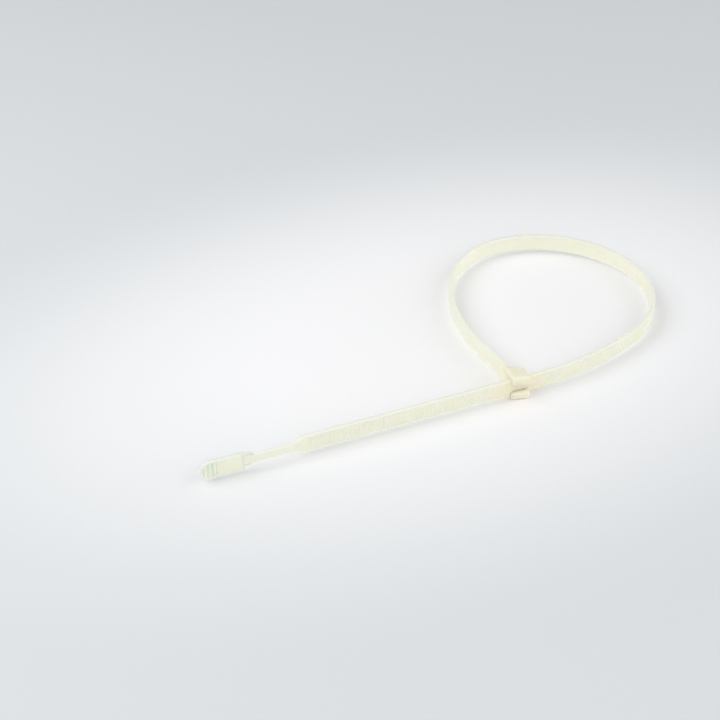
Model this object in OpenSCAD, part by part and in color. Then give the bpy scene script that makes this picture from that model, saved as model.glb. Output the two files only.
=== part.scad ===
// Cable tie with an open-nosed head, closed into a loop.
// Millimetres, +Z up. The tie lies on the edge of its strap. The origin is under the strand that
// runs through the head, on the head's underside. The free tail points along -X.

/* [Strap] */
// Width of the strap, which stands upright here
strap_w = 4.6; // [4.2:0.1:7.6]
// Thickness of the strap over its rails
strap_t = 1.1; // [0.9:0.05:1.6]
// Width of each rail along the strap's edges
rail_w = 0.45; // [0.3:0.05:0.7]
// Bevel along the outer corners of the rails
rail_bevel = 0.12; // [0.05:0.01:0.2]
// How far the web lies below the rails on the smooth inner face
inner_sink = 0.1; // [0.05:0.01:0.2]
// How far the tips of the teeth lie below the rails on the outer face
tooth_sink = 0.1; // [0.05:0.01:0.2]
// Height of the strap's teeth
tooth_h = 0.3; // [0.15:0.05:0.4]
// Distance from one tooth to the next
tooth_pitch = 0.55; // [0.5:0.05:0.9]
// Length of strap behind the head that has no teeth and is flush with their tips
plain_root = 12; // [4:1:30]

/* [Loop] */
// Straight stretch of strap from the middle of the head into the loop
front_run = 6.4; // [5:0.2:12]
// Straight stretch of strap behind the head
root_run = 1.6; // [0.5:0.1:6]
// Radius of the slow bend in front
front_r = 78; // [60:1:100]
// Angle of the slow bend in front
front_angle = 23.5; // [18:0.5:28]
// Radius of the bend at the right
right_r = 22.2; // [19:0.2:26]
// Angle of the bend at the right
right_angle = 85.5; // [78:0.5:92]
// Angle of the wide bend at the back
back_angle = 66; // [60:0.5:72]
// Radius of the bend at the left
left_r = 22.2; // [19:0.2:26]
// Angle of the bend at the left
left_angle = 68; // [62:0.5:74]
// Angle of the easy bend that leads to the head
side_angle = 40; // [34:0.5:46]
// Radius of the last bend, which turns the strap back square to the head
return_r = 44; // [30:1:60]

/* [Head] */
// Length of the head along the strand that runs through it
head_l = 4.6; // [3.8:0.1:7]
// Height of the head beyond the strap's two edges together
head_over = 2.4; // [1.6:0.1:4]
// How far the head's outer end stands out from the middle of its own strap
head_lead = 1; // [0.8:0.05:1.6]
// Thickness of the lips at the head's outer end, where they are thinnest
lip_t = 0.6; // [0.5:0.05:1.5]
// Angle at which the lips' front leaves the strand, thickening them towards the loop
nose_slant = 12; // [0:1:16]
// Opening between the two lips
nose_gap = 2.6; // [2.4:0.05:3.2]
// Bevel at the mouth between the lips
mouth_bevel = 0.3; // [0.1:0.05:0.5]
// Thickness of the wall behind the slot, where it is deepest
back_t = 2.8; // [2.2:0.1:4]
// Radius of the head's round back
dome_r = 2.6; // [2:0.1:3]
// Rounding of the rim along the head's back
rim_r = 0.7; // [0.3:0.05:1]
// Rounding of the lips' edges and of the head's other upright corners
lip_r = 0.4; // [0.2:0.05:0.45]
// Clearance of the strand in the slot on every side
slot_clear = 0.15; // [0.1:0.01:0.3]
// Number of locking teeth inside each lip
lock_teeth = 4; // [2:1:5]
// Gap between the locking teeth and the strap's teeth
lock_gap = 0.08; // [0.05:0.01:0.12]
// Radius of the fillet where the strap's inner face runs into the head
root_fillet = 1.2; // [0.6:0.1:1.5]

/* [Tail] */
// Length of toothed tail from the middle of the head
tail_len = 53.3; // [30:0.1:90]
// Length of smooth strap before it begins to narrow
wedge_lead = 0.9; // [0.5:0.1:3]
// Length over which the strap narrows to the neck
wedge_len = 4; // [3:0.1:8]
// Length of the neck between the wedge and the pull tab
neck_len = 11.1; // [7:0.1:16]
// Width of the neck, which passes sideways between the lips
neck_w = 2.3; // [1.8:0.05:2.35]
// Thickness of the neck
neck_t = 0.75; // [0.6:0.05:1.1]

/* [Pull tab] */
// Length of the pull tab
tab_len = 11; // [9:0.1:20]
// Width of the pull tab across its round end
tab_w = 5.2; // [4.8:0.1:8]
// Width of the pull tab beside the neck
tab_root_w = 4.8; // [4:0.1:4.8]
// Thickness of the pull tab
tab_t = 1; // [0.85:0.05:1.6]
// How far the tab stands proud of the strap's outer face
tab_proud = 0.15; // [0.1:0.05:0.3]
// Width of the rim round the tab's sunk face
rim_w = 0.5; // [0.3:0.05:0.8]
// Depth of the tab's sunk face and of the groove across its foot
sunk_d = 0.2; // [0.1:0.05:0.3]
// Length of the sunk face and its rim
sunk_len = 4.2; // [4:0.1:7]
// Number of grip ribs across the sunk face
rib_count = 3; // [2:1:4]
// Distance from one grip rib to the next
rib_pitch = 1.1; // [0.9:0.05:1.3]
// Width of a grip rib
rib_w = 0.5; // [0.3:0.05:0.6]
// Gap between the end of the sunk face and the nearest grip rib
rib_gap = 0.25; // [0.15:0.05:0.5]
// Width of the groove across the tab's foot, and of the bar that it leaves beside the neck
groove_w = 0.3; // [0.2:0.05:0.5]
// Length of the shoulder plate behind the end of the neck
shoulder_len = 2.2; // [1.5:0.1:4]
// Width of the shoulder plate
shoulder_w = 4.2; // [3.6:0.1:4.5]
// Thickness of the shoulder plate
shoulder_t = 0.5; // [0.3:0.05:0.6]
// Bevel on the shoulder plate's free corners
shoulder_bevel = 0.8; // [0.3:0.05:0.9]

/* [Hidden] */
nylon = [0.95, 0.94, 0.86];
$fn = 180;

// Heights: the head rests on z = 0 and the strap runs through the middle of it
head_h = strap_w + head_over;
mid_z = head_h / 2;
strap_z = mid_z - strap_w / 2;
// Places across the strand: its outer face looks towards -Y
face_y = -strap_t / 2;
slot_front = face_y - slot_clear;
slot_back = -face_y + slot_clear;
head_back = slot_back + back_t;
// Places across the web, from the strand's middle towards the loop's inside
web_inner = strap_t / 2 - inner_sink;
tooth_tip = face_y + tooth_sink;
tooth_root = tooth_tip + tooth_h;
// Small overlap by which one form sinks into the next
sink = 0.05;
// Depth to which the strap's root runs into the head
root_sink = back_t / 3;
// Ends of the head along the strand
head_x0 = -head_lead;
head_x1 = head_l - head_lead;
// Front of the lips at the head's outer end and at its other end
nose_y = slot_front - lip_t;
nose_end_y = nose_y - head_l * tan(nose_slant);

// The loop turns three quarters of a circle in all. The last bend takes back what is over.
over_angle = front_angle + right_angle + back_angle + left_angle + side_angle - 270;
angles = [0, front_angle, right_angle, back_angle, left_angle, side_angle, -over_angle, 0];
headings = [for (i = 0, a = 0; i < len(angles); a = a + angles[i], i = i + 1) a];
// How far one millimetre of radius carries each bend along X and along Y
reach_x = [for (i = [1:6]) sign(angles[i]) * (sin(headings[i] + angles[i]) - sin(headings[i]))];
reach_y = [for (i = [1:6]) sign(angles[i]) * (cos(headings[i]) - cos(headings[i] + angles[i]))];
// The bends at the back and at the side get the two radii that close the loop on the head
need_x = -front_run - front_r * reach_x[0] - right_r * reach_x[1] - left_r * reach_x[3]
    - return_r * reach_x[5];
need_y = head_back + root_run - front_r * reach_y[0] - right_r * reach_y[1] - left_r * reach_y[3]
    - return_r * reach_y[5];
loop_det = reach_x[2] * reach_y[4] - reach_x[4] * reach_y[2];
back_r = to_step((need_x * reach_y[4] - need_y * reach_x[4]) / loop_det, 0.001);
side_r = to_step((need_y * reach_x[2] - need_x * reach_y[2]) / loop_det, 0.001);
radii = [0, front_r, right_r, back_r, left_r, side_r, return_r, 0];
// Each stretch of the route: its length, its turn to the left in degrees for each millimetre
bend_len = [for (i = [0:7]) abs(angles[i]) * PI / 180 * radii[i]];
stretch_len = [for (i = [0:7]) i == 0 ? front_run : i == 7 ? root_run + root_sink : bend_len[i]];
stretch_rate = [for (i = [0:7]) radii[i] == 0 ? 0 : angles[i] / bend_len[i]];
starts = [for (i = 0, s = 0; i < 8; s = s + stretch_len[i], i = i + 1) s];
corners = [for (i = 0, p = [0, 0]; i < 8; p = p + step(i, stretch_len[i]), i = i + 1) p];
route_len = starts[7] + stretch_len[7];

// Nearest whole number of steps
function to_step(value, size) = round(value / size) * size;
// Displacement after a length s of stretch i
function step(i, s) = stretch_rate[i] == 0
    ? s * [cos(headings[i]), sin(headings[i])]
    : 180 / PI / stretch_rate[i] * [sin(headings[i] + stretch_rate[i] * s) - sin(headings[i]),
                                    cos(headings[i]) - cos(headings[i] + stretch_rate[i] * s)];
// The stretch that holds the place s along the route; the tail has negative places
function stretch_at(s) = max([for (i = [0:7]) i == 0 || s >= starts[i] ? i : 0]);
// Point beside the route at place s, with off to the left of its heading
function beside(s, off) =
    let (i = stretch_at(s), d = s - starts[i], a = headings[i] + stretch_rate[i] * d)
    corners[i] + step(i, d) + off * [-sin(a), cos(a)];

// Places of the toothed part of the web
tooth_from = -tail_len;
tooth_to = route_len - root_sink - plain_root;
tooth_count = floor((tooth_to - tooth_from) / tooth_pitch);
// Share of the pitch over which a tooth falls gently from its tip
tooth_slope = 0.75;
// Places on the web's plain edges, close enough together to read as a curve
plain_step = 1.5;
plain_count = ceil((route_len - tooth_from) / plain_step);
root_count = ceil(plain_root / plain_step);

// Ends of the tail's parts along X
wedge_from = -tail_len - wedge_lead;
neck_from = wedge_from - wedge_len;
neck_back = face_y + neck_t;
tab_from = neck_from - neck_len;
tab_to = tab_from - tab_len;
tab_front = face_y - tab_proud;
tab_back = tab_front + tab_t;
tab_r = tab_w / 2;

// Outline through corner points, listed anticlockwise, each rounded by its own radius
module rounded(points, radii) {
    n = len(points);
    arms = [for (i = [0:n - 1]) [for (j = [i + n - 1, i + 1])
        (points[j % n] - points[i]) / norm(points[j % n] - points[i])]];
    bends = [for (arm = arms) acos(arm[0] * arm[1])];
    polygon([for (i = [0:n - 1]) each [for (side = arms[i])
        points[i] + radii[i] / tan(bends[i] / 2) * side]]);
    for (i = [0:n - 1])
        translate(points[i] + radii[i] / sin(bends[i]) * (arms[i][0] + arms[i][1])) circle(radii[i]);
}

// Corner points of an upright rectangle, anticlockwise
function corners_of(low, high) = [low, [high[0], low[1]], high, [low[0], high[1]]];

// Turns an outline in the plane of the tail, X across and Z up, into a plate between two depths
module plate(front, back) {
    translate([0, back, 0]) rotate([90, 0, 0]) linear_extrude(back - front) children();
}

// Turns an outline across the strand, Y across and Z up, into a bar between two places along X
module bar(from, to) {
    translate([from, 0, 0]) rotate([90, 0, 90]) linear_extrude(to - from) children();
}

// Section of one rail, from its outer edge at z = 0 to the web
module rail_section() {
    polygon([
        [face_y + rail_bevel, 0], [-face_y - rail_bevel, 0], [-face_y, rail_bevel],
        [-face_y, rail_w], [face_y, rail_w], [face_y, rail_bevel]
    ]);
}

// Moves its children to a point of the route in a coarse and a fine step, so that bends meet exactly
module place(p) {
    coarse = [to_step(p[0], 0.01), to_step(p[1], 0.01)];
    translate([coarse[0], coarse[1], 0])
        translate([p[0] - coarse[0], p[1] - coarse[1], 0]) children();
}

// One rail from the narrowing of the tail, through the head and round the loop into the head
module rail() {
    translate([-tail_len, 0, 0]) run(tail_len + front_run);
    for (i = [1:6]) bend(corners[i], radii[i], headings[i], angles[i]);
    place(corners[7]) rotate([0, 0, 270]) run(stretch_len[7]);
}

// Straight stretch of rail along +X
module run(length) {
    rotate([90, 0, 90]) linear_extrude(length) rail_section();
}

// Bend of rail from a point of the route at a heading: to the left, or to the right where turn is
// negative
module bend(from, r, heading, turn) {
    left = turn > 0;
    place(from + (left ? r : -r) * [-sin(heading), cos(heading)])
        rotate_extrude(start = left ? heading - 90 : heading + 90 + turn, angle = abs(turn))
            translate([r, 0])
                if (left) mirror([1, 0]) rail_section();
                else rail_section();
}

// Web between the rails, with the teeth on its outer face
module web() {
    teeth = [for (k = [0:tooth_count - 1]) each [
        beside(tooth_from + k * tooth_pitch, tooth_tip),
        beside(tooth_from + (k + tooth_slope) * tooth_pitch, tooth_root)
    ]];
    plain_outer = [for (k = [0:root_count])
        beside(tooth_to + (route_len - tooth_to) * k / root_count, tooth_tip)];
    inner = [for (k = [plain_count:-1:0])
        beside(tooth_from + (route_len - tooth_from) * k / plain_count, web_inner)];
    translate([0, 0, strap_z + rail_w - sink])
        linear_extrude(strap_w - 2 * rail_w + 2 * sink)
            polygon(concat(teeth, plain_outer, inner));
}

// Strap with its two rails and the web
module strap() {
    translate([0, 0, strap_z]) rail();
    translate([0, 0, head_h - strap_z]) mirror([0, 0, 1]) rail();
    web();
}

// Half the width of the narrowing strap at a place along X: one smooth S
function wedge_half(x) =
    let (share = min(1, max(0, (wedge_from - x) / wedge_len)))
    strap_w / 2 - (strap_w - neck_w) / 4 * (1 - cos(180 * share));

// Outline of the wedge, drawn in by inset
module wedge_outline(inset, from, to) {
    steps = 20;
    xs = [for (k = [0:steps]) from + (to - from) * k / steps];
    polygon(concat([for (x = xs) [x, mid_z - wedge_half(x) + inset]],
                   [for (k = [steps:-1:0]) [xs[k], mid_z + wedge_half(xs[k]) - inset]]));
}

// Narrowing end of the strap: the rails draw together round a smooth channel and the back slopes
module wedge() {
    difference() {
        intersection() {
            plate(face_y, -face_y) wedge_outline(0, neck_from, -tail_len + sink);
            linear_extrude(head_h) polygon([
                [neck_from, face_y], [-tail_len + sink, face_y], [-tail_len + sink, -face_y],
                [wedge_from, -face_y], [neck_from, neck_back]
            ]);
        }
        plate(face_y - 1, tooth_root) wedge_outline(rail_w, neck_from + rail_w, -tail_len + 2 * sink);
    }
}

// Neck, thin enough to be laid in between the lips
module neck() {
    translate([tab_from - sink, face_y, mid_z - neck_w / 2]) cube([neck_len + 2 * sink, neck_t, neck_w]);
}

// Thinner plate that stiffens the end of the neck, set back behind it
module shoulder() {
    half = shoulder_w / 2;
    plate(tab_back - shoulder_t, tab_back)
        translate([tab_from, mid_z]) polygon([
            [-sink, -half], [shoulder_len - shoulder_bevel, -half], [shoulder_len, -half + shoulder_bevel],
            [shoulder_len, half - shoulder_bevel], [shoulder_len - shoulder_bevel, half], [-sink, half]
        ]);
}

// Outline of the pull tab, drawn in by inset: it widens towards a round end
module tab_outline(inset) {
    translate([tab_to + tab_r, mid_z]) {
        circle(tab_r - inset);
        polygon([
            [0, tab_r - inset], [0, inset - tab_r],
            [tab_len - tab_r, inset - tab_root_w / 2], [tab_len - tab_r, tab_root_w / 2 - inset]
        ]);
    }
}

// Pull tab with a rimmed, sunk and ribbed face near its round end and a groove across its foot
module tab() {
    floor_y = tab_front + sunk_d;
    difference() {
        plate(tab_front, tab_back) tab_outline(0);
        plate(tab_front - 1, floor_y) intersection() {
            tab_outline(rim_w);
            translate([tab_to, 0]) square([sunk_len, head_h]);
        }
        plate(tab_front - 1, floor_y)
            translate([tab_from - 2 * groove_w, -head_h]) square([groove_w, 3 * head_h]);
    }
    first = tab_to + sunk_len - rib_gap - rib_w;
    for (k = [0:rib_count - 1])
        plate(tab_front, floor_y + sink) intersection() {
            tab_outline(rim_w - sink);
            translate([first - k * rib_pitch, 0]) square([rib_w, head_h]);
        }
}

// Outline of the head in plan, with slanted lips in front
module head_plan() {
    rounded([[head_x0, nose_y], [head_x1, nose_end_y], [head_x1, head_back], [head_x0, head_back]],
            [lip_r, lip_r, lip_r, lip_r]);
}

// Form that gives the head its round back towards the loop and rounds the rim along it
module rim_form() {
    past = 1;
    far_y = nose_end_y - past;
    centre = [head_x1 - dome_r, head_back - dome_r];
    bar(head_x0 - past, centre[0])
        rounded(corners_of([far_y, 0], [head_back, head_h]), [rim_r, rim_r, rim_r, rim_r]);
    plate(far_y, centre[1])
        rounded(corners_of([head_x0 - past, 0], [head_x1, head_h]), [rim_r, rim_r, rim_r, rim_r]);
    translate(centre) rotate_extrude() intersection() {
        square([dome_r, head_h]);
        rounded(corners_of([-dome_r, 0], [dome_r, head_h]), [rim_r, rim_r, rim_r, rim_r]);
    }
}

// Form that rounds the top and bottom edges of the slanted lips
module nose_form() {
    past = 2;
    depth = head_back - nose_end_y + past;
    translate([head_x0, nose_y, 0]) rotate([0, 0, -nose_slant]) bar(-past, head_l + past)
        rounded(corners_of([0, 0], [depth, head_h]), [lip_r, lip_r, lip_r, lip_r]);
}

// Block of the head before the slot is cut
module head_block() {
    intersection() {
        linear_extrude(head_h) head_plan();
        rim_form();
        nose_form();
    }
}

// Slot for the strand and the open mouth between the lips
module head_opening() {
    gap = nose_gap / 2;
    past = 1;
    bar(head_x0 - past, head_x1 + past) {
        translate([slot_front, strap_z - slot_clear])
            square([slot_back - slot_front, strap_w + 2 * slot_clear]);
        translate([nose_end_y - past, mid_z - gap]) square([slot_front + sink - nose_end_y + past, nose_gap]);
    }
    translate([head_x0, nose_y, 0]) rotate([0, 0, -nose_slant]) bar(-past, head_l + 2 * past)
        translate([0, mid_z]) polygon([
            [mouth_bevel + gap / 2, -gap / 2], [mouth_bevel + gap / 2, gap / 2],
            [-past, gap + mouth_bevel + past], [-past, -gap - mouth_bevel - past]
        ]);
}

// Locking teeth inside both lips, lined up with the strap's teeth
module lock() {
    first = round(((head_x0 + head_x1 - lock_teeth * tooth_pitch) / 2 - tooth_from) / tooth_pitch);
    x0 = tooth_from + first * tooth_pitch;
    z0 = strap_z + rail_w + lock_gap;
    z1 = mid_z - nose_gap / 2;
    rack = [for (k = [0:lock_teeth - 1]) each [
        [x0 + k * tooth_pitch, tooth_tip - lock_gap],
        [x0 + (k + tooth_slope) * tooth_pitch, tooth_root - lock_gap]
    ]];
    end = [x0 + lock_teeth * tooth_pitch, tooth_tip - lock_gap];
    for (z = [z0, head_h - z1])
        translate([0, 0, z]) linear_extrude(z1 - z0)
            polygon(concat([[x0, slot_front - sink]], rack, [end, [end[0], slot_front - sink]]));
}

// Fillet between the strap's inner face and the head's back
module root_corner() {
    foot = [-face_y - sink, head_back - root_sink];
    side = max(0, -face_y + root_fillet - head_x1 + dome_r);
    centre = [-face_y + root_fillet,
              head_back - dome_r + sqrt(pow(dome_r + root_fillet, 2) - side * side)];
    translate([0, 0, strap_z]) linear_extrude(strap_w) difference() {
        translate(foot)
            square([centre[0] - side * root_fillet / (dome_r + root_fillet), centre[1]] - foot);
        translate(centre) circle(root_fillet);
    }
}

module head() {
    difference() {
        head_block();
        head_opening();
    }
    lock();
    root_corner();
}

// The whole moulding
module cable_tie() {
    color(nylon) {
        strap();
        wedge();
        neck();
        shoulder();
        tab();
        head();
    }
}

cable_tie();
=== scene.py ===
"""Cable tie in natural nylon: one moulding round its CAD frame, with its stage and camera."""

import math

import bmesh
import bpy
from bpy.props import FloatProperty, FloatVectorProperty, IntProperty, PointerProperty
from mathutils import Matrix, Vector


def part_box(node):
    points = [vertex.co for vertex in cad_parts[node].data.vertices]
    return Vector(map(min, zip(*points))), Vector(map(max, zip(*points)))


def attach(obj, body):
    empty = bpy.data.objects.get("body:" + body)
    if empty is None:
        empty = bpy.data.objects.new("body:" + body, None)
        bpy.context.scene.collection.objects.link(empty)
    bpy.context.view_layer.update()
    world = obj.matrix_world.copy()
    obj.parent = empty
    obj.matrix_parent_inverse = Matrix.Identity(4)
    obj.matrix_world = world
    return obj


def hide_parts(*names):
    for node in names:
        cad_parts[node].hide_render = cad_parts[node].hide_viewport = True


bl_info = {
    "name": "Cable tie",
    "version": (1, 0, 0),
    "blender": (4, 5, 0),
    "location": "3D View > Sidebar > Cable tie",
    "description": "Models a nylon cable tie closed into a loop, with its stage",
    "category": "Object",
}

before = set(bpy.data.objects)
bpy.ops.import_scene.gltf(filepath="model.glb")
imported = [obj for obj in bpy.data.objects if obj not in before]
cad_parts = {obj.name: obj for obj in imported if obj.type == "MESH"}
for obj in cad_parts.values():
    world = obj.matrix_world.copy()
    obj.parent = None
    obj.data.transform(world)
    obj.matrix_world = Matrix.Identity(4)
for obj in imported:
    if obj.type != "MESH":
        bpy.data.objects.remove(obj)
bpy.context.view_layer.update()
CAD_LOW, CAD_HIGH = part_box("cable_tie")
MM = 0.001
MIDDLE_Z = (CAD_LOW.z + CAD_HIGH.z) / 2

# Half the length along the strap over which a sharp step is drawn
STEP_SIDE = 0.04 * MM
# How far a cutter runs past what it cuts
PAST = 2 * MM
# The sharpest that a corner of the head gets where its rim is drawn in
LEAST_RADIUS = 0.05 * MM
# Points nearer than this are one, and edges flatter than the crease are shaded smooth
WELD, CREASE = 0.0005 * MM, math.radians(32)
# Edges that the cuts leave sharper than this are rounded
SHARP = math.radians(38)
# Angles, in degrees, at which the tab's round end and the head's rounded rims are sliced
ROUND_END_SLICES = (4, 8, 13, 19, 26, 34, 43, 53, 64, 76, 88)
RIM_SLICES = (0, 18, 36, 54, 72, 90)
# Faces round each corner of the head in plan, the large one is the dome
HEAD_CORNER_FACES = (5, 5, 18, 5)
# One tooth as shares of the pitch, and whether the strap is at a tip there
TOOTH_PROFILE = ((0, True), (0.1, True), (0.7, False), (0.8, False))

# Where the head's warmer colour is centred, and how far it reaches before it fades into the strap
HEAD_MIDDLE = (1.3 * MM, 0.6 * MM, MIDDLE_Z)
HEAD_REACH, HEAD_FADE = 4.2 * MM, 9 * MM

# Lamps: name, place, size and the stage value that holds their power
LAMPS = (
    ("key", (-0.36, 0.1, 0.4), 0.4, "key_power"),
    ("side", (0.4, -0.24, 0.3), 0.6, "side_power"),
    ("front", (-0.15, -0.5, 0.32), 0.5, "front_power"),
)
LAMP_TARGET = (0, 0.02, 0)
WORLD_COLOUR = (0.97, 0.975, 1, 1)
FLOOR_RADIUS = 4
# The floor's painted pool of light: squeezed along X, round its middle, from full to faded
LIGHT_POOL_SQUEEZE, LIGHT_POOL_MIDDLE = (0.6, 1, 1), (-0.004, 0.03, 0)
LIGHT_POOL_FROM, LIGHT_POOL_TO = 0.022, 0.1

LENS, SENSOR = 75.08, 36
CAMERA_TARGET = (-0.0312, 0.0232, 0.0035)
CAMERA_TURN, CAMERA_LIFT = math.radians(-21.855), math.radians(40)
CAMERA_DISTANCE = 0.3742


def length(name, description, mm):
    """A size that the panel shows as a length; the default is written in millimetres."""
    return FloatProperty(
        name=name, description=description, default=mm * MM, unit="LENGTH", precision=5
    )


def angle(name, description, degrees):
    return FloatProperty(
        name=name, description=description, default=math.radians(degrees), subtype="ANGLE"
    )


def share(name, description, default):
    return FloatProperty(
        name=name, description=description, default=default, min=0, max=1, subtype="FACTOR"
    )


def power(name, description, watts):
    return FloatProperty(name=name, description=description, default=watts, unit="POWER")


def colour(name, description, default):
    return FloatVectorProperty(
        name=name,
        description=description,
        default=default,
        size=3,
        min=0,
        max=1,
        subtype="COLOR",
    )


class StrapSizes(bpy.types.PropertyGroup):
    width: length("Width", "Width of the strap, which stands upright", 4.6)
    thickness: length("Thickness", "Thickness of the strap over its rails", 1.1)
    rail: length("Rail", "Width of each rail along the strap's edges", 0.45)
    corner: length("Corner", "Rounding of the strap's long corners", 0.13)
    step_corner: length("Step corner", "Bevel where the channel meets the rails", 0.04)
    web_sink: length("Web sink", "Depth of the smooth inner face below its rails", 0.1)
    tip_sink: length("Tip sink", "Depth of the teeth's tips below the rails", 0.1)
    tooth_height: length("Tooth height", "Height of the strap's teeth", 0.14)
    pitch: length("Pitch", "Distance from one tooth to the next", 0.55)
    plain_root: length("Plain root", "Length of strap behind the head without teeth", 12)
    flare: length("Flare", "Length over which the strap's root swells into the head", 3.2)
    flare_in: length("Flare inside", "Swelling of the root on the loop's side", 1.3)
    flare_out: length("Flare outside", "Swelling of the root on its outer face", 0.35)
    flare_up: length("Flare up", "Swelling of the root above and below", 1.0)


class LoopSizes(bpy.types.PropertyGroup):
    front_run: length("Front run", "Straight strap from the head into the loop", 6.4)
    root_run: length("Root run", "Straight strap behind the head", 1.6)
    front_radius: length("Front radius", "Radius of the slow bend in front", 78)
    right_radius: length("Right radius", "Radius of the bend at the right", 22.2)
    left_radius: length("Left radius", "Radius of the bend at the left", 22.2)
    return_radius: length("Return radius", "Radius of the last bend, square to the head", 44)
    front_angle: angle("Front angle", "Angle of the slow bend in front", 23.5)
    right_angle: angle("Right angle", "Angle of the bend at the right", 85.5)
    back_angle: angle("Back angle", "Angle of the wide bend at the back", 66)
    left_angle: angle("Left angle", "Angle of the bend at the left", 68)
    side_angle: angle("Side angle", "Angle of the easy bend that leads to the head", 40)


class HeadSizes(bpy.types.PropertyGroup):
    length: length("Length", "Length of the head along the strand in it", 4.6)
    lead: length("Lead", "How far the outer end stands out from its own strap", 1.0)
    lip: length("Lip", "Thickness of the lips at the outer end", 0.6)
    slant: angle("Slant", "Angle at which the lips' front leaves the strand", 12)
    back: length("Back", "Thickness of the wall behind the slot", 2.8)
    dome: length("Dome", "Radius of the round back", 2.6)
    rim: length("Rim", "Rounding of the rim round the back and the dome", 0.7)
    lip_corner: length("Lip corner", "Rounding of the head's upright corners", 0.6)
    nose: length("Nose", "Rounding of the edges above and below the lips' front", 0.85)
    end_corner: length("End corner", "Rounding of the rim at the outer end", 0.5)
    gap: length("Gap", "Opening between the two lips", 2.6)
    mouth: length("Mouth", "Bevel at the mouth between the lips", 0.3)
    clearance: length("Clearance", "Room round the strand in the slot", 0.15)
    edge: length("Edge", "Small rounding of the cut edges", 0.07)
    lock_gap: length("Lock gap", "Gap between the locking teeth and the strap", 0.08)
    lock_teeth: IntProperty(
        name="Locking teeth", description="Number of locking teeth in each lip", default=4
    )


class TailSizes(bpy.types.PropertyGroup):
    toothed: length("Toothed tail", "Toothed tail from the middle of the head", 53.3)
    lead: length("Lead", "Smooth strap before it begins to narrow", 0.9)
    wedge: length("Wedge", "Length over which the strap narrows", 4.0)
    neck: length("Neck", "Length of the neck", 11.1)
    neck_width: length("Neck width", "Width of the neck", 2.3)
    neck_thickness: length("Neck thickness", "Thickness of the neck", 0.75)
    tab: length("Tab", "Length of the pull tab", 11.0)
    tab_width: length("Tab width", "Width of the tab across its round end", 5.2)
    tab_root: length("Tab root", "Width of the tab beside the neck", 4.8)
    tab_thickness: length("Tab thickness", "Thickness of the tab", 1.0)
    tab_proud: length("Proud", "How far the tab stands proud of the strap", 0.15)
    rim: length("Rim", "Width of the rim round the sunk face", 0.5)
    sunk: length("Sunk depth", "Depth of the sunk face and of the groove", 0.2)
    sunk_length: length("Sunk length", "Length of the sunk face with its rim", 4.2)
    rib_pitch: length("Rib pitch", "Distance from one grip rib to the next", 1.1)
    rib_width: length("Rib width", "Width of a grip rib", 0.5)
    rib_gap: length("Rib gap", "Gap from the end of the sunk face to the first rib", 0.25)
    groove: length("Groove", "Width of the groove across the tab's foot", 0.3)
    shoulder: length("Shoulder", "Length of the shoulder plate", 2.2)
    shoulder_width: length("Shoulder width", "Width of the shoulder plate", 4.2)
    shoulder_thickness: length("Shoulder thickness", "Thickness of the shoulder plate", 0.5)
    shoulder_bevel: length("Shoulder bevel", "Bevel on the plate's free corners", 0.8)
    ribs: IntProperty(name="Ribs", description="Number of grip ribs", default=3)


class NylonFinish(bpy.types.PropertyGroup):
    strap: colour("Strap", "Colour of the strap", (0.91, 0.905, 0.775))
    # Painted shade: a darker, greener colour on the rail bands along both edges, standing in for
    # the rails' tops falling darker under the lamps
    painted_rail_shade: colour("Thin", "Greener colour of the thin rails", (0.88, 0.90, 0.76))
    # Painted shade: a darker, greener colour on the faces set back on the tab and shoulder, for
    # the shade in the sunk face and groove and on the thin shoulder plate
    sunk: colour("Sunk", "Greener colour of the tab's sunk face and shoulder", (0.80, 0.86, 0.75))
    head: colour("Head", "Warmer colour of the thick head", (1.0, 0.895, 0.71))
    depth: length("Depth", "How far light travels in the nylon", 1.3)
    milk: share("Milkiness", "Share of light that goes into the nylon", 1.0)
    roughness: share("Roughness", "Roughness of the moulded skin", 0.48)


class StageLook(bpy.types.PropertyGroup):
    floor: colour("Floor", "Colour of the floor by the object", (1.0, 1.0, 1.0))
    # Painted falloff of light: the floor greys to this colour further out from the tie
    painted_floor_falloff: colour("Far floor", "Colour of the floor further out", (0.75, 0.78, 0.79))
    key_power: power("Key power", "Power of the large soft key lamp", 1.15)
    side_power: power("Side power", "Power of the soft lamp at the right", 1.1)
    front_power: power("Front power", "Power of the soft lamp in front", 0.5)
    world: share("World", "Strength of the pale surroundings", 0.5)
    floor_drop: length("Floor drop", "Sliver of air between the head and the floor", 0.02)


PANEL_GROUPS = {
    "cable_tie_strap": StrapSizes,
    "cable_tie_loop": LoopSizes,
    "cable_tie_head": HeadSizes,
    "cable_tie_tail": TailSizes,
    "cable_tie_nylon": NylonFinish,
    "cable_tie_stage": StageLook,
}


def lerp(a, b, t):
    return a + (b - a) * t


def ease(t):
    """A smooth S from 0 to 1."""
    return 0.5 - 0.5 * math.cos(math.pi * min(1, max(0, t)))


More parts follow.
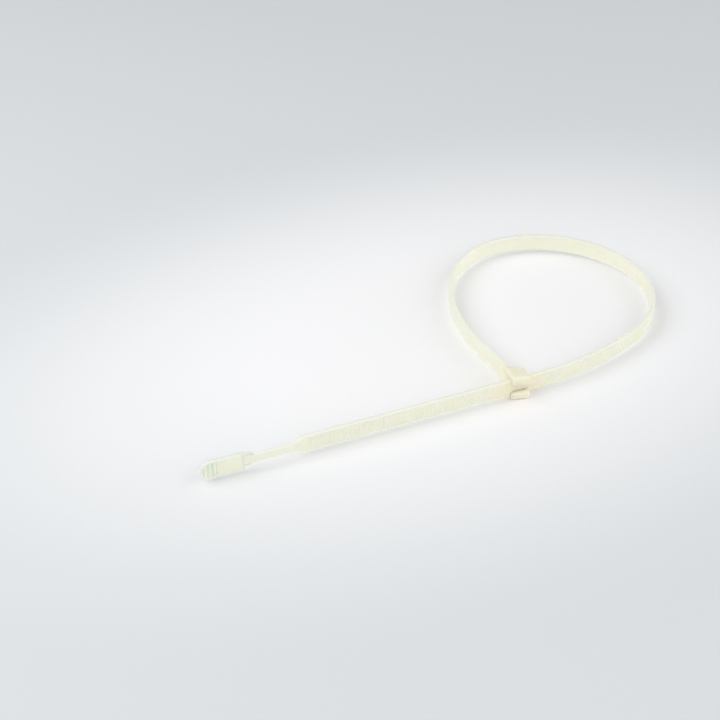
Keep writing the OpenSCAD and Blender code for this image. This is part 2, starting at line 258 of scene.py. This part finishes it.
class Route:
    """The strap's middle line in plan: the straight tail, the bends of the loop and the root."""

    def __init__(self, loop, end_y, root_sink):
        angles = [loop.front_angle, loop.right_angle, loop.back_angle]
        angles += [loop.left_angle, loop.side_angle]
        angles.append(math.radians(270) - sum(angles))
        headings = [0.0]
        for turn in angles:
            headings.append(headings[-1] + turn)
        # The back's and the side's radii are solved, so that the route ends square on the head
        known = [loop.front_radius, loop.right_radius, None]
        known += [loop.left_radius, None, loop.return_radius]
        reach = [
            math.copysign(1, turn)
            * Vector((math.sin(a + turn) - math.sin(a), math.cos(a) - math.cos(a + turn)))
            for a, turn in zip(headings, angles)
        ]
        need = Vector((-loop.front_run, end_y + loop.root_run))
        for radius, vector in zip(known, reach):
            if radius is not None:
                need -= radius * vector
        back, side = reach[2], reach[4]
        spread = back.x * side.y - side.x * back.y
        known[2] = (need.x * side.y - need.y * side.x) / spread
        known[4] = (need.y * back.x - need.x * back.y) / spread
        bends = [(abs(turn) * r, turn / (abs(turn) * r)) for turn, r in zip(angles, known)]
        stretches = [(loop.front_run, 0.0), *bends, (loop.root_run + root_sink, 0.0)]
        self.parts = []
        start, point = 0.0, Vector((0, 0))
        for (size, rate), heading in zip(stretches, [0.0, *headings]):
            self.parts.append((start, point, heading, rate))
            start, point = start + size, point + self.step(heading, rate, size)
        self.length = start

    @staticmethod
    def step(heading, rate, size):
        if rate == 0:
            return size * Vector((math.cos(heading), math.sin(heading)))
        end = heading + rate * size
        across, up = math.sin(end) - math.sin(heading), math.cos(heading) - math.cos(end)
        return Vector((across, up)) / rate

    def beside(self, place, off):
        """The point beside the route at a place, off to the left of its heading."""
        begun = [part for part in self.parts if part[0] <= place]
        start, point, heading, rate = begun[-1] if begun else self.parts[0]
        along = place - start
        end = heading + rate * along
        left = Vector((-math.sin(end), math.cos(end)))
        return point + self.step(heading, rate, along) + off * left


def section(half, channel, middle, front, back, web, corner, step_corner):
    """Points (depth, height) round the strap: rounded rails, channel and smooth web."""

    def wall(inner, outer):
        bevel = min(step_corner, abs(outer - inner) / 2)
        way = math.copysign(bevel, outer - inner)
        return [
            (inner, 0),
            (inner, channel - bevel),
            (inner + way, channel),
            (outer - way, channel),
            (outer, channel + bevel),
        ]

    # The corners never meet, neither over a thin edge nor over a narrow rail
    r = min(corner, (half - channel) / 2, (back - front) / 2.2)
    cut = r * (1 - math.sqrt(0.5))
    upper = wall(middle, front)
    upper += [(front, half - r), (front + cut, half - cut), (front + r, half)]
    upper += [(back - r, half), (back - cut, half - cut), (back, half - r)]
    upper += reversed(wall(web, back))
    return upper + [(depth, -height) for depth, height in reversed(upper[1:-1])]


def loft(rings):
    """A bmesh made by extruding the first ring from place to place, with both ends closed."""
    bm = bmesh.new()
    ring = [bm.verts.new(point) for point in rings[0]]
    edges = [bm.edges.new(pair) for pair in zip(ring, ring[1:] + ring[:1])]
    bmesh.ops.contextual_create(bm, geom=edges)
    for points in rings[1:]:
        made = bmesh.ops.extrude_edge_only(bm, edges=edges)["geom"]
        fresh = {item for item in made if isinstance(item, bmesh.types.BMVert)}
        ring = [
            next(e.other_vert(v) for e in v.link_edges if e.other_vert(v) in fresh) for v in ring
        ]
        for vert, point in zip(ring, points):
            vert.co = point
        edges = [bm.edges.get(pair) for pair in zip(ring, ring[1:] + ring[:1])]
    bmesh.ops.contextual_create(bm, geom=edges)
    bmesh.ops.recalc_face_normals(bm, faces=bm.faces)
    return bm


def to_object(bm, name):
    mesh = bpy.data.meshes.new(name)
    bm.to_mesh(mesh)
    bm.free()
    piece = bpy.data.objects.new(name, mesh)
    bpy.context.scene.collection.objects.link(piece)
    return piece


def combine(piece, other, operation):
    """Joins or cuts two closed meshes into one closed mesh and removes the second."""
    cut = piece.modifiers.new(operation.lower(), "BOOLEAN")
    cut.operation, cut.object, cut.solver = operation, other, "MANIFOLD"
    evaluated = piece.evaluated_get(bpy.context.evaluated_depsgraph_get())
    mesh = bpy.data.meshes.new_from_object(evaluated)
    if not mesh.polygons:
        raise RuntimeError(f"{operation.lower()} of {piece.name} and {other.name} left nothing")
    piece.modifiers.clear()
    piece.data = mesh
    bpy.data.objects.remove(other)


def depths(scene):
    """Places across the strand: the slot's side, the lips' front at both ends, the back."""
    strap, head = scene.cable_tie_strap, scene.cable_tie_head
    half = strap.thickness / 2 + head.clearance
    nose = -half - head.lip
    return half, nose, nose - head.length * math.tan(head.slant), half + head.back


def route_of(scene):
    back = depths(scene)[3]
    return Route(scene.cable_tie_loop, back, scene.cable_tie_head.back / 3)


def tab_stations(tail, face):
    """Sections of the pull tab, from its round end to its foot."""
    tip = -tail.toothed - tail.lead - tail.wedge - tail.neck - tail.tab
    foot, radius = tip + tail.tab, tail.tab_width / 2
    centre = tip + radius
    front = face - tail.tab_proud
    back = front + tail.tab_thickness
    sunk_to = tip + tail.sunk_length
    first = sunk_to - tail.rib_gap - tail.rib_width
    ribs = [first - k * tail.rib_pitch for k in range(tail.ribs)]
    groove = foot - 2 * tail.groove

    def half_at(x):
        if x < centre:
            return math.sqrt(max(0, radius**2 - (centre - x) ** 2))
        return lerp(radius, tail.tab_root / 2, (x - centre) / (foot - centre))

    def channel_at(x):
        inner = radius - tail.rim
        if x < centre:
            return max(0.3 * half_at(x), math.sqrt(max(0, inner**2 - (centre - x) ** 2)))
        return half_at(x) - tail.rim

    round_end = [centre - radius * math.cos(math.radians(a)) for a in ROUND_END_SLICES]
    steps = [tip + tail.rim, sunk_to, groove, groove + tail.groove]
    steps += [x for rib in ribs for x in (rib, rib + tail.rib_width)]
    places = sorted(round_end + [x + side * STEP_SIDE for x in steps for side in (-1, 1)])
    places += [foot - STEP_SIDE]
    edge_length, edge_depth = 0.3 * MM, 0.15 * MM
    stations = []
    for x in places:
        rib = any(r < x < r + tail.rib_width for r in ribs)
        sunk = tip + tail.rim < x < sunk_to and not rib
        grooved = groove < x < groove + tail.groove
        near = min(1, (x - tip) / edge_length)
        rounding = edge_depth * (1 - math.sqrt(1 - (1 - near) ** 2))
        face_at = front + rounding + (tail.sunk if grooved else 0)
        middle = front + tail.sunk if sunk else face_at
        stations.append(
            (x, half_at(x), channel_at(x), middle, face_at, back - rounding, back - rounding)
        )
    return stations, foot


def tail_stations(strap, tail, face):
    """Sections of the tab, the shoulder plate, the neck and the wedge, up to the first tooth."""
    stations, foot = tab_stations(tail, face)
    neck, half = tail.neck_width / 2, tail.shoulder_width / 2
    back = face - tail.tab_proud + tail.tab_thickness
    plate_front = back - tail.shoulder_thickness
    plate_to = foot + tail.shoulder
    for x, cut in (
        (foot + STEP_SIDE, 0),
        (plate_to - tail.shoulder_bevel, 0),
        (plate_to - STEP_SIDE, tail.shoulder_bevel - STEP_SIDE),
    ):
        stations.append((x, half - cut, neck, face, plate_front, back, back))
    wedge_to = -tail.toothed - tail.lead
    wedge_from = wedge_to - tail.wedge
    neck_back = face + tail.neck_thickness
    flat = neck - 0.14 * MM
    stations.append((plate_to + STEP_SIDE, neck, flat, face, face, neck_back, neck_back))
    floor = face + strap.tip_sink + strap.tooth_height
    # The rails part over the neck's end, and the channel sinks in a little into the wedge
    parting, sink_after, sink_length, slice_length = 2 * MM, 0.1 * MM, 0.7 * MM, 0.2 * MM
    slices = range(-2, int(math.ceil((tail.wedge + tail.lead) / slice_length)) + 1)
    for x in [wedge_from - 1.5 * parting] + [wedge_from + k * slice_length for k in slices]:
        if x > -tail.toothed - slice_length / 2:
            break
        t = ease((x - wedge_from) / tail.wedge)
        width = lerp(neck, strap.width / 2, t)
        inner = lerp(flat, width - strap.rail, ease((x - wedge_from + parting) / parting))
        back_at = lerp(neck_back, -face, t)
        sink = ease((x - wedge_from - sink_after) / sink_length)
        web = back_at - strap.web_sink * t
        stations.append((x, width, inner, lerp(face, floor, sink), face, back_at, web))
    return stations


def strap_stations(scene, route):
    """Sections of the whole strap from the tab's tip to the root inside the head."""
    strap, tail, head = scene.cable_tie_strap, scene.cable_tie_tail, scene.cable_tie_head
    face, half = -strap.thickness / 2, strap.width / 2
    channel, back = half - strap.rail, strap.thickness / 2
    web = back - strap.web_sink
    tip = face + strap.tip_sink
    root = tip + strap.tooth_height
    stations = tail_stations(strap, tail, face)
    first, last = -tail.toothed, route.length - head.back / 3 - strap.plain_root
    for k in range(int((last - first) / strap.pitch)):
        for part, at_tip in TOOTH_PROFILE:
            place = first + (k + part) * strap.pitch
            stations.append((place, half, channel, tip if at_tip else root, face, back, web))
    fine, coarse = 0.1 * MM, 0.5 * MM
    flare_to = route.length - head.back / 3 + fine
    place = stations[-1][0] + fine
    while place < route.length:
        left = flare_to - place
        near = min(1, max(0, 1 - left / strap.flare))
        swell = 1 - math.sqrt(1 - near**2)
        out = strap.flare_out * swell
        inside = back + strap.flare_in * swell
        stations.append(
            (
                place,
                half + strap.flare_up * swell,
                channel,
                tip - out,
                face - out,
                inside,
                inside - strap.web_sink,
            )
        )
        place += coarse if left > strap.flare + coarse else fine
    return stations


def make_strap(scene):
    """Sweeps the strap's section along the tail, through the head and round the loop."""
    strap, route = scene.cable_tie_strap, route_of(scene)
    rings = []
    for place, *depths_at in strap_stations(scene, route):
        points = section(*depths_at, strap.corner, strap.step_corner)
        rings.append(
            [Vector((*route.beside(place, depth), MIDDLE_Z + height)) for depth, height in points]
        )
    return to_object(loft(rings), "strap")


def plan_ring(corners, radii, insets, segments, z):
    """An outline in plan with rounded corners, drawn in by its own inset on each side."""
    count = len(corners)
    sides = []
    for k, inset in enumerate(insets):
        start, end = corners[k], corners[(k + 1) % count]
        along = (end - start).normalized()
        sides.append((start + inset * Vector((-along.y, along.x)), along))
    points = []
    for k in range(count):
        (p, u), (q, v) = sides[k - 1], sides[k]
        cross = u.x * v.y - u.y * v.x
        t = ((q.x - p.x) * v.y - (q.y - p.y) * v.x) / cross
        corner = p + t * u
        radius = max(LEAST_RADIUS, radii[k] - max(insets[k - 1], insets[k]))
        bend = math.atan2(cross, u.dot(v))
        tangent = radius * math.tan(bend / 2)
        centre = corner - tangent * u + radius * Vector((-u.y, u.x))
        start = math.atan2(-u.x, u.y)
        for step in range(segments[k] + 1):
            a = start + bend * step / segments[k]
            around = radius * Vector((math.cos(a), math.sin(a)))
            points.append(Vector((*(centre + around), z)))
    return points


def make_head_block(scene):
    """The head's body: slanted lips in front, a round back, and every rim rounded."""
    head = scene.cable_tie_head
    half, nose, nose_end, back = depths(scene)
    x0, x1 = -head.lead, head.length - head.lead
    corners = [Vector(p) for p in ((x0, nose), (x1, nose_end), (x1, back), (x0, back))]
    radii = (head.lip_corner, head.lip_corner, head.dome, head.lip_corner)
    rounds = (head.nose, head.rim, head.rim, head.end_corner)
    low, high = CAD_LOW.z, CAD_HIGH.z
    slices = [1 - math.cos(math.radians(a)) for a in RIM_SLICES]
    rise = sorted({round(r * part, 7) for r in set(rounds) for part in slices})
    rings = []
    for z in [low + up for up in rise] + [high - up for up in reversed(rise)]:
        up = min(z - low, high - z)
        insets = [r - math.sqrt(max(0, r * r - max(0, r - up) ** 2)) for r in rounds]
        rings.append(plan_ring(corners, radii, insets, HEAD_CORNER_FACES, z))
    return to_object(loft(rings), "head")


def bar(outline, low, high, turn=0.0, origin=(0, 0)):
    """A bar along X with an outline in depth and height, turned about an upright line."""
    cos, sin = math.cos(turn), math.sin(turn)
    ox, oy = origin
    rings = [
        [
            Vector((ox + x * cos - y * sin, oy + x * sin + y * cos, MIDDLE_Z + z))
            for y, z in outline
        ]
        for x in (low, high)
    ]
    return to_object(loft(rings), "bar")


def cut_openings(scene, piece):
    """Cuts the slot for the strand and the bevelled mouth between the lips."""
    strap, head = scene.cable_tie_strap, scene.cable_tie_head
    half, nose, nose_end, _ = depths(scene)
    tall, gap = strap.width / 2 + head.clearance, head.gap / 2
    out = nose_end - PAST
    slot = [(out, -gap), (-half, -gap), (-half, -tall), (half, -tall), (half, tall)]
    slot += [(-half, tall), (-half, gap), (out, gap)]
    combine(piece, bar(slot, -head.lead - PAST, head.length + PAST), "DIFFERENCE")
    deep, wide = head.mouth + gap / 2, gap + head.mouth + PAST
    mouth = [(-PAST, -wide), (deep, -gap / 2), (deep, gap / 2), (-PAST, wide)]
    cutter = bar(mouth, -PAST, head.length + 2 * PAST, -head.slant, (-head.lead, nose))
    combine(piece, cutter, "DIFFERENCE")


def soften(piece, width):
    """Rounds the edges that the cuts left sharp."""
    bm = bmesh.new()
    bm.from_mesh(piece.data)
    bmesh.ops.remove_doubles(bm, verts=bm.verts, dist=2 * WELD)
    bmesh.ops.dissolve_limit(
        bm,
        angle_limit=math.radians(1),
        use_dissolve_boundaries=False,
        verts=bm.verts,
        edges=bm.edges,
    )
    sharp = [e for e in bm.edges if e.is_manifold and e.calc_face_angle(0) > SHARP]
    bmesh.ops.bevel(
        bm,
        geom=sharp,
        offset=width,
        offset_type="OFFSET",
        affect="EDGES",
        segments=2,
        profile=0.5,
        material=-1,
        clamp_overlap=True,
    )
    bm.to_mesh(piece.data)
    bm.free()


def add_lock(scene, piece):
    """Adds the locking teeth inside both lips, in line with the strap's teeth."""
    strap, head, tail = scene.cable_tie_strap, scene.cable_tie_head, scene.cable_tie_tail
    half = depths(scene)[0]
    pitch, count = strap.pitch, head.lock_teeth
    middle = head.length / 2 - head.lead
    first = round((middle - count * pitch / 2 + tail.toothed) / pitch) * pitch - tail.toothed
    tip = -strap.thickness / 2 + strap.tip_sink - head.lock_gap
    root = tip + strap.tooth_height
    # Each tooth slopes over most of its pitch, and stands on a foot sunk into the lip
    slope, foot = 0.75, -half - 0.1 * MM
    outline = [(first, foot)]
    for k in range(count):
        outline += [(first + k * pitch, tip), (first + (k + slope) * pitch, root)]
    outline += [(first + count * pitch, tip), (first + count * pitch, foot)]
    low = head.gap / 2 + STEP_SIDE
    high = strap.width / 2 - strap.rail - head.lock_gap
    for z0, z1 in ((low, high), (-high, -low)):
        rings = [[Vector((x, y, MIDDLE_Z + z)) for x, y in outline] for z in (z0, z1)]
        combine(piece, to_object(loft(rings), "lock"), "UNION")


def node(tree, kind, values=(), **settings):
    """Adds a shader node: values fill or link its inputs, settings are its own switches."""
    made = tree.nodes.new("ShaderNode" + kind)
    for key, value in settings.items():
        setattr(made, key, value)
    for key, value in dict(values).items():
        socket = made.inputs[key]
        if isinstance(value, bpy.types.NodeSocket):
            tree.links.new(value, socket)
        else:
            socket.default_value = value
    return made


def fade(tree, value, start, end, first=0.0, last=1.0, smooth=True):
    """Maps a value from start to end onto first to last."""
    values = {"Value": value, "From Min": start, "From Max": end, "To Min": first, "To Max": last}
    kind = "SMOOTHSTEP" if smooth else "LINEAR"
    return node(tree, "MapRange", values, interpolation_type=kind).outputs["Result"]


def mixed(tree, factor, first, second):
    """Mixes two colours, each an output of a node or three numbers."""
    ends = [c if isinstance(c, bpy.types.NodeSocket) else (*c, 1) for c in (first, second)]
    values = {0: factor, 6: ends[0], 7: ends[1]}
    return node(tree, "Mix", values, data_type="RGBA").outputs[2]


def new_material(name):
    material = bpy.data.materials.new(name)
    material.use_nodes = True
    tree = material.node_tree
    return material, tree, tree.nodes["Principled BSDF"]


def nylon_colour(scene, tree, place):
    """Strap, warm head, and painted shade on the rails and on the tab's sunk face and shoulder,
    with faint clouds over all.
    """
    look, strap, tail = scene.cable_tie_nylon, scene.cable_tie_strap, scene.cable_tie_tail
    parts = node(tree, "SeparateXYZ", {0: place}).outputs
    height = node(tree, "Math", {0: parts["Z"], 1: MIDDLE_Z}, operation="SUBTRACT").outputs[0]
    aside = node(tree, "Math", {0: height}, operation="ABSOLUTE").outputs[0]
    channel = strap.width / 2 - strap.rail
    # Painted shade: the rail bands at both edges take the darker, greener colour
    rail = fade(tree, aside, channel - 0.15 * MM, channel + 0.1 * MM)
    away = node(tree, "VectorMath", {0: place, 1: HEAD_MIDDLE}, operation="DISTANCE")
    near = fade(tree, away.outputs["Value"], HEAD_REACH, HEAD_FADE, 1.0, 0.0)
    body = mixed(tree, near, mixed(tree, rail, look.strap, look.painted_rail_shade), look.head)

    # Painted shade: faces set back behind the front face on the tab and the shoulder plate take
    # the darker, greener colour
    face = -strap.thickness / 2
    deep = fade(tree, parts["Y"], face + 0.005 * MM, face + 0.045 * MM, smooth=False)
    neck_from = tail.shoulder - tail.toothed - tail.lead - tail.wedge - tail.neck + 0.05 * MM
    outer = fade(tree, parts["X"], neck_from, neck_from + 0.1 * MM, 1.0, 0.0, smooth=False)
    low = node(tree, "Math", {0: deep, 1: outer}, operation="MULTIPLY").outputs[0]
    body = mixed(tree, low, body, look.sunk)

    clouds = node(tree, "TexNoise", {"Vector": place, "Scale": 260.0, "Detail": 3.0})
    tone = fade(tree, clouds.outputs["Fac"], 0.3, 0.7, 0.98, 1.01, smooth=False)
    return node(tree, "HueSaturation", {"Color": body, "Value": tone}).outputs["Color"]


def nylon(scene):
    """Natural nylon: milky, a little warmer in the thick head, with a fine moulded skin."""
    look = scene.cable_tie_nylon
    material, tree, shader = new_material("natural_nylon")
    place = node(tree, "TexCoord").outputs["Object"]
    tree.links.new(nylon_colour(scene, tree, place), shader.inputs["Base Color"])
    wipe = node(tree, "TexNoise", {"Vector": place, "Scale": 900.0, "Detail": 4.0})
    smoother, rougher = look.roughness - 0.07, look.roughness + 0.09
    rough = fade(tree, wipe.outputs["Fac"], 0.0, 1.0, smoother, rougher, smooth=False)
    tree.links.new(rough, shader.inputs["Roughness"])
    grain = node(tree, "TexNoise", {"Vector": place, "Scale": 5200.0, "Detail": 2.0})
    bump = {"Height": grain.outputs["Fac"], "Strength": 0.25, "Distance": 0.02 * MM}
    skin = node(tree, "Bump", bump)
    tree.links.new(skin.outputs["Normal"], shader.inputs["Normal"])
    shader.inputs["Subsurface Weight"].default_value = look.milk
    shader.inputs["Subsurface Radius"].default_value = (0.8, 0.85, 0.6)
    shader.inputs["Subsurface Scale"].default_value = look.depth
    shader.inputs["IOR"].default_value = 1.53
    return material


def finish_moulding(piece, material):
    """Shades the closed mesh smooth between its real edges and gives it the nylon."""
    bm = bmesh.new()
    bm.from_mesh(piece.data)
    bmesh.ops.remove_doubles(bm, verts=bm.verts, dist=WELD)
    bmesh.ops.dissolve_degenerate(bm, dist=WELD, edges=bm.edges)
    open_edges = sum(not e.is_manifold for e in bm.edges)
    if open_edges:
        print(f"{piece.name}: {open_edges} open edges")
    for face in bm.faces:
        face.smooth = True
    for edge in bm.edges:
        edge.smooth = edge.calc_face_angle(0) < CREASE
    bm.to_mesh(piece.data)
    bm.free()
    piece.data.materials.clear()
    piece.data.materials.append(material)


class CABLETIE_OT_strap(bpy.types.Operator):
    """Sweep the strap with its teeth, wedge, neck, shoulder and pull tab"""

    bl_idname = "cable_tie.strap"
    bl_label = "Strap and tail"

    def execute(self, context):
        make_strap(context.scene)
        return {"FINISHED"}


class CABLETIE_OT_head(bpy.types.Operator):
    """Model the head with its slot, lips and locking teeth"""

    bl_idname = "cable_tie.head"
    bl_label = "Head"

    def execute(self, context):
        scene = context.scene
        piece = make_head_block(scene)
        cut_openings(scene, piece)
        soften(piece, scene.cable_tie_head.edge)
        add_lock(scene, piece)
        return {"FINISHED"}


class CABLETIE_OT_moulding(bpy.types.Operator):
    """Join the strap and the head into the one nylon moulding"""

    bl_idname = "cable_tie.moulding"
    bl_label = "One moulding"

    def execute(self, context):
        scene = context.scene
        piece = bpy.data.objects["strap"]
        combine(piece, bpy.data.objects["head"], "UNION")
        piece.name = "tie_moulding"
        finish_moulding(piece, nylon(scene))
        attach(piece, "root")
        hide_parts("cable_tie")
        return {"FINISHED"}


class CABLETIE_OT_stage(bpy.types.Operator):
    """Set the pale floor, the lamps, the surroundings and the camera"""

    bl_idname = "cable_tie.stage"
    bl_label = "Stage"

    def execute(self, context):
        scene = context.scene
        make_floor(scene)
        make_lights(scene)
        make_camera(scene)
        return {"FINISHED"}


def make_floor(scene):
    look = scene.cable_tie_stage
    bm = bmesh.new()
    bmesh.ops.create_circle(bm, cap_ends=True, segments=96, radius=FLOOR_RADIUS)
    bmesh.ops.translate(bm, vec=(0, 0, -look.floor_drop), verts=bm.verts)
    floor = to_object(bm, "floor")
    material, tree, shader = new_material("pale_floor")
    shader.inputs["Roughness"].default_value = 0.9
    shader.inputs["Specular IOR Level"].default_value = 0.0
    place = node(tree, "TexCoord").outputs["Object"]
    # Painted pool of light: the floor is white round the tie and fades to a grey further out
    squeezed = node(tree, "VectorMath", {0: place, 1: LIGHT_POOL_SQUEEZE}, operation="MULTIPLY")
    away = node(
        tree,
        "VectorMath",
        {0: squeezed.outputs["Vector"], 1: LIGHT_POOL_MIDDLE},
        operation="DISTANCE",
    )
    spread = fade(tree, away.outputs["Value"], LIGHT_POOL_FROM, LIGHT_POOL_TO)
    tone = mixed(tree, spread, look.floor, look.painted_floor_falloff)
    tree.links.new(tone, shader.inputs["Base Color"])
    floor.data.materials.append(material)


def aim(thing, place, target):
    thing.location = place
    thing.rotation_euler = (Vector(place) - Vector(target)).to_track_quat("Z", "Y").to_euler()


def make_lights(scene):
    look = scene.cable_tie_stage
    for name, place, size, held_in in LAMPS:
        data = bpy.data.lights.new(name, "AREA")
        data.energy, data.size = getattr(look, held_in), size
        lamp = bpy.data.objects.new(name, data)
        scene.collection.objects.link(lamp)
        aim(lamp, place, LAMP_TARGET)
    world = bpy.data.worlds.new("surroundings")
    world.use_nodes = True
    background = world.node_tree.nodes["Background"]
    background.inputs["Color"].default_value = WORLD_COLOUR
    background.inputs["Strength"].default_value = look.world
    scene.world = world
    scene.view_settings.view_transform = "Standard"


def make_camera(scene):
    data = bpy.data.cameras.new("camera")
    data.lens, data.sensor_width = LENS, SENSOR
    camera = bpy.data.objects.new("camera", data)
    scene.collection.objects.link(camera)
    level = math.cos(CAMERA_LIFT)
    way = Vector(
        (math.sin(CAMERA_TURN) * level, -math.cos(CAMERA_TURN) * level, math.sin(CAMERA_LIFT))
    )
    aim(camera, Vector(CAMERA_TARGET) + CAMERA_DISTANCE * way, CAMERA_TARGET)
    scene.camera = camera


class CABLETIE_PT_sizes(bpy.types.Panel):
    """Lists the sizes, the finish and the steps"""

    bl_idname = "CABLETIE_PT_sizes"
    bl_label = "Cable tie"
    bl_space_type = "VIEW_3D"
    bl_region_type = "UI"
    bl_category = "Cable tie"

    def draw(self, context):
        layout = self.layout
        for name in PANEL_GROUPS:
            box = layout.box()
            box.label(text=name.replace("cable_tie_", "").capitalize())
            group = getattr(context.scene, name)
            for key in group.__annotations__:
                box.prop(group, key)
        for step in STEPS:
            layout.operator(step.bl_idname)


STEPS = (CABLETIE_OT_strap, CABLETIE_OT_head, CABLETIE_OT_moulding, CABLETIE_OT_stage)


def register():
    for kind in (*PANEL_GROUPS.values(), *STEPS, CABLETIE_PT_sizes):
        bpy.utils.register_class(kind)
    for name, kind in PANEL_GROUPS.items():
        setattr(bpy.types.Scene, name, PointerProperty(type=kind))


def unregister():
    for name in PANEL_GROUPS:
        delattr(bpy.types.Scene, name)
    for kind in reversed((*PANEL_GROUPS.values(), *STEPS, CABLETIE_PT_sizes)):
        bpy.utils.unregister_class(kind)


def main():
    register()
    bpy.ops.cable_tie.strap()
    bpy.ops.cable_tie.head()
    bpy.ops.cable_tie.moulding()
    bpy.ops.cable_tie.stage()


if __name__ == "__main__":
    main()
